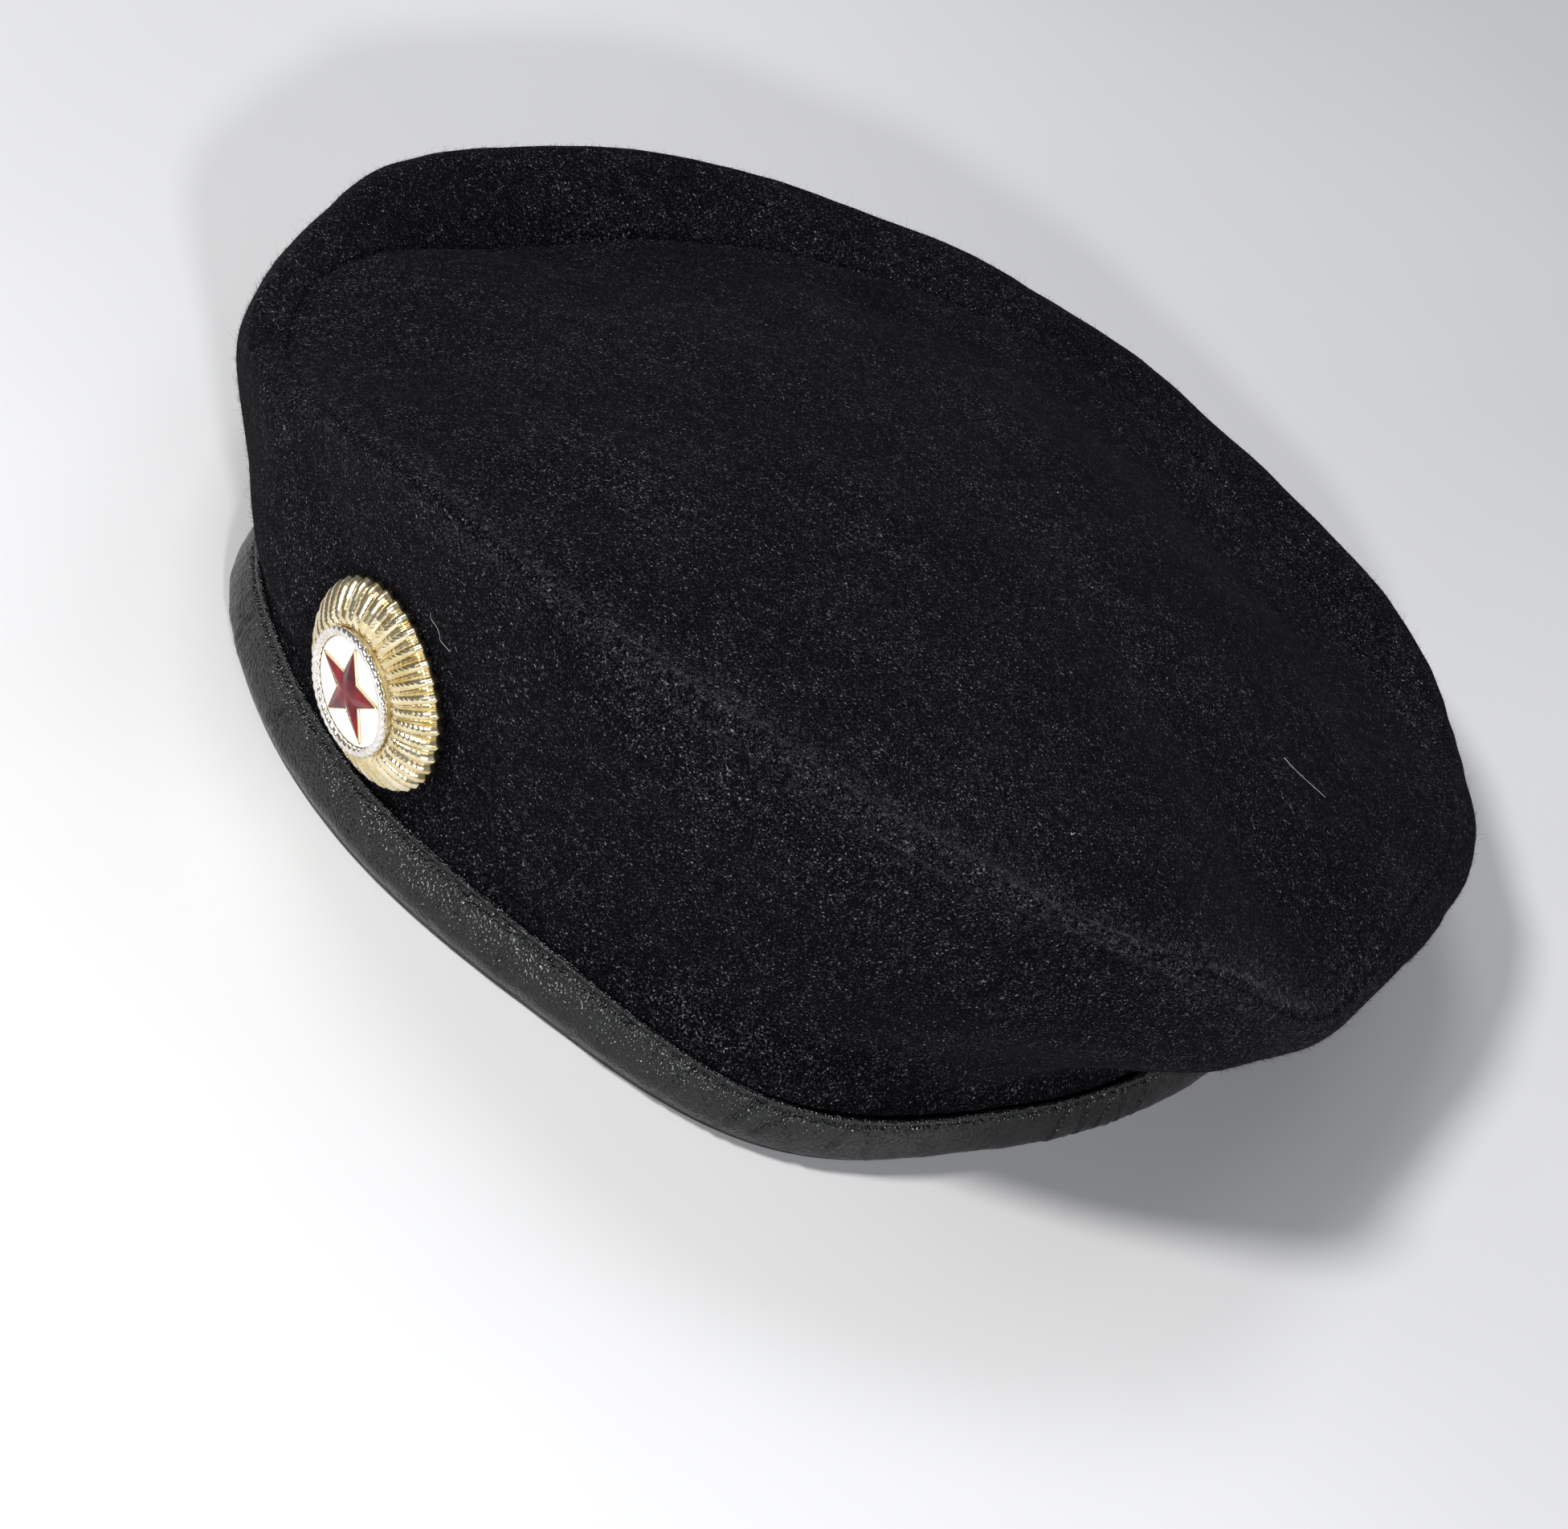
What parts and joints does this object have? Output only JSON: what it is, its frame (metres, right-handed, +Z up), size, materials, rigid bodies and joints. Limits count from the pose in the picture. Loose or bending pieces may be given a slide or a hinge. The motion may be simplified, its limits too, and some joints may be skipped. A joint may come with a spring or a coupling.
{
  "type": "military beret with cockade",
  "caption": "Soft felt beret with a leather-bound edge, its crown high at the front and drooping to the back, and a round ribbed metal cockade with an enamel star on the front.",
  "frame": {"origin": "under the middle of the beret's box, on the plane that the binding's flat lower edge rests on", "axes": "+Z up, out of the crown; -Y the way the wearer looks, so the cockade faces -Y; +X the wearer's left"},
  "size_m": [0.2504, 0.2554, 0.0808],
  "materials": {
    "felt": "matte",
    "leather": "satin",
    "gilt_metal": "polished",
    "white_enamel": "gloss",
    "red_enamel": "gloss"
  },
  "bodies": {
    "root": {"top_panel": "felt", "side_wall": "felt", "edge_binding": "leather", "cockade_base": "gilt_metal", "cockade_plate": "white_enamel", "cockade_star": "red_enamel", "cockade_post": "gilt_metal"}
  },
  "joints": []
}
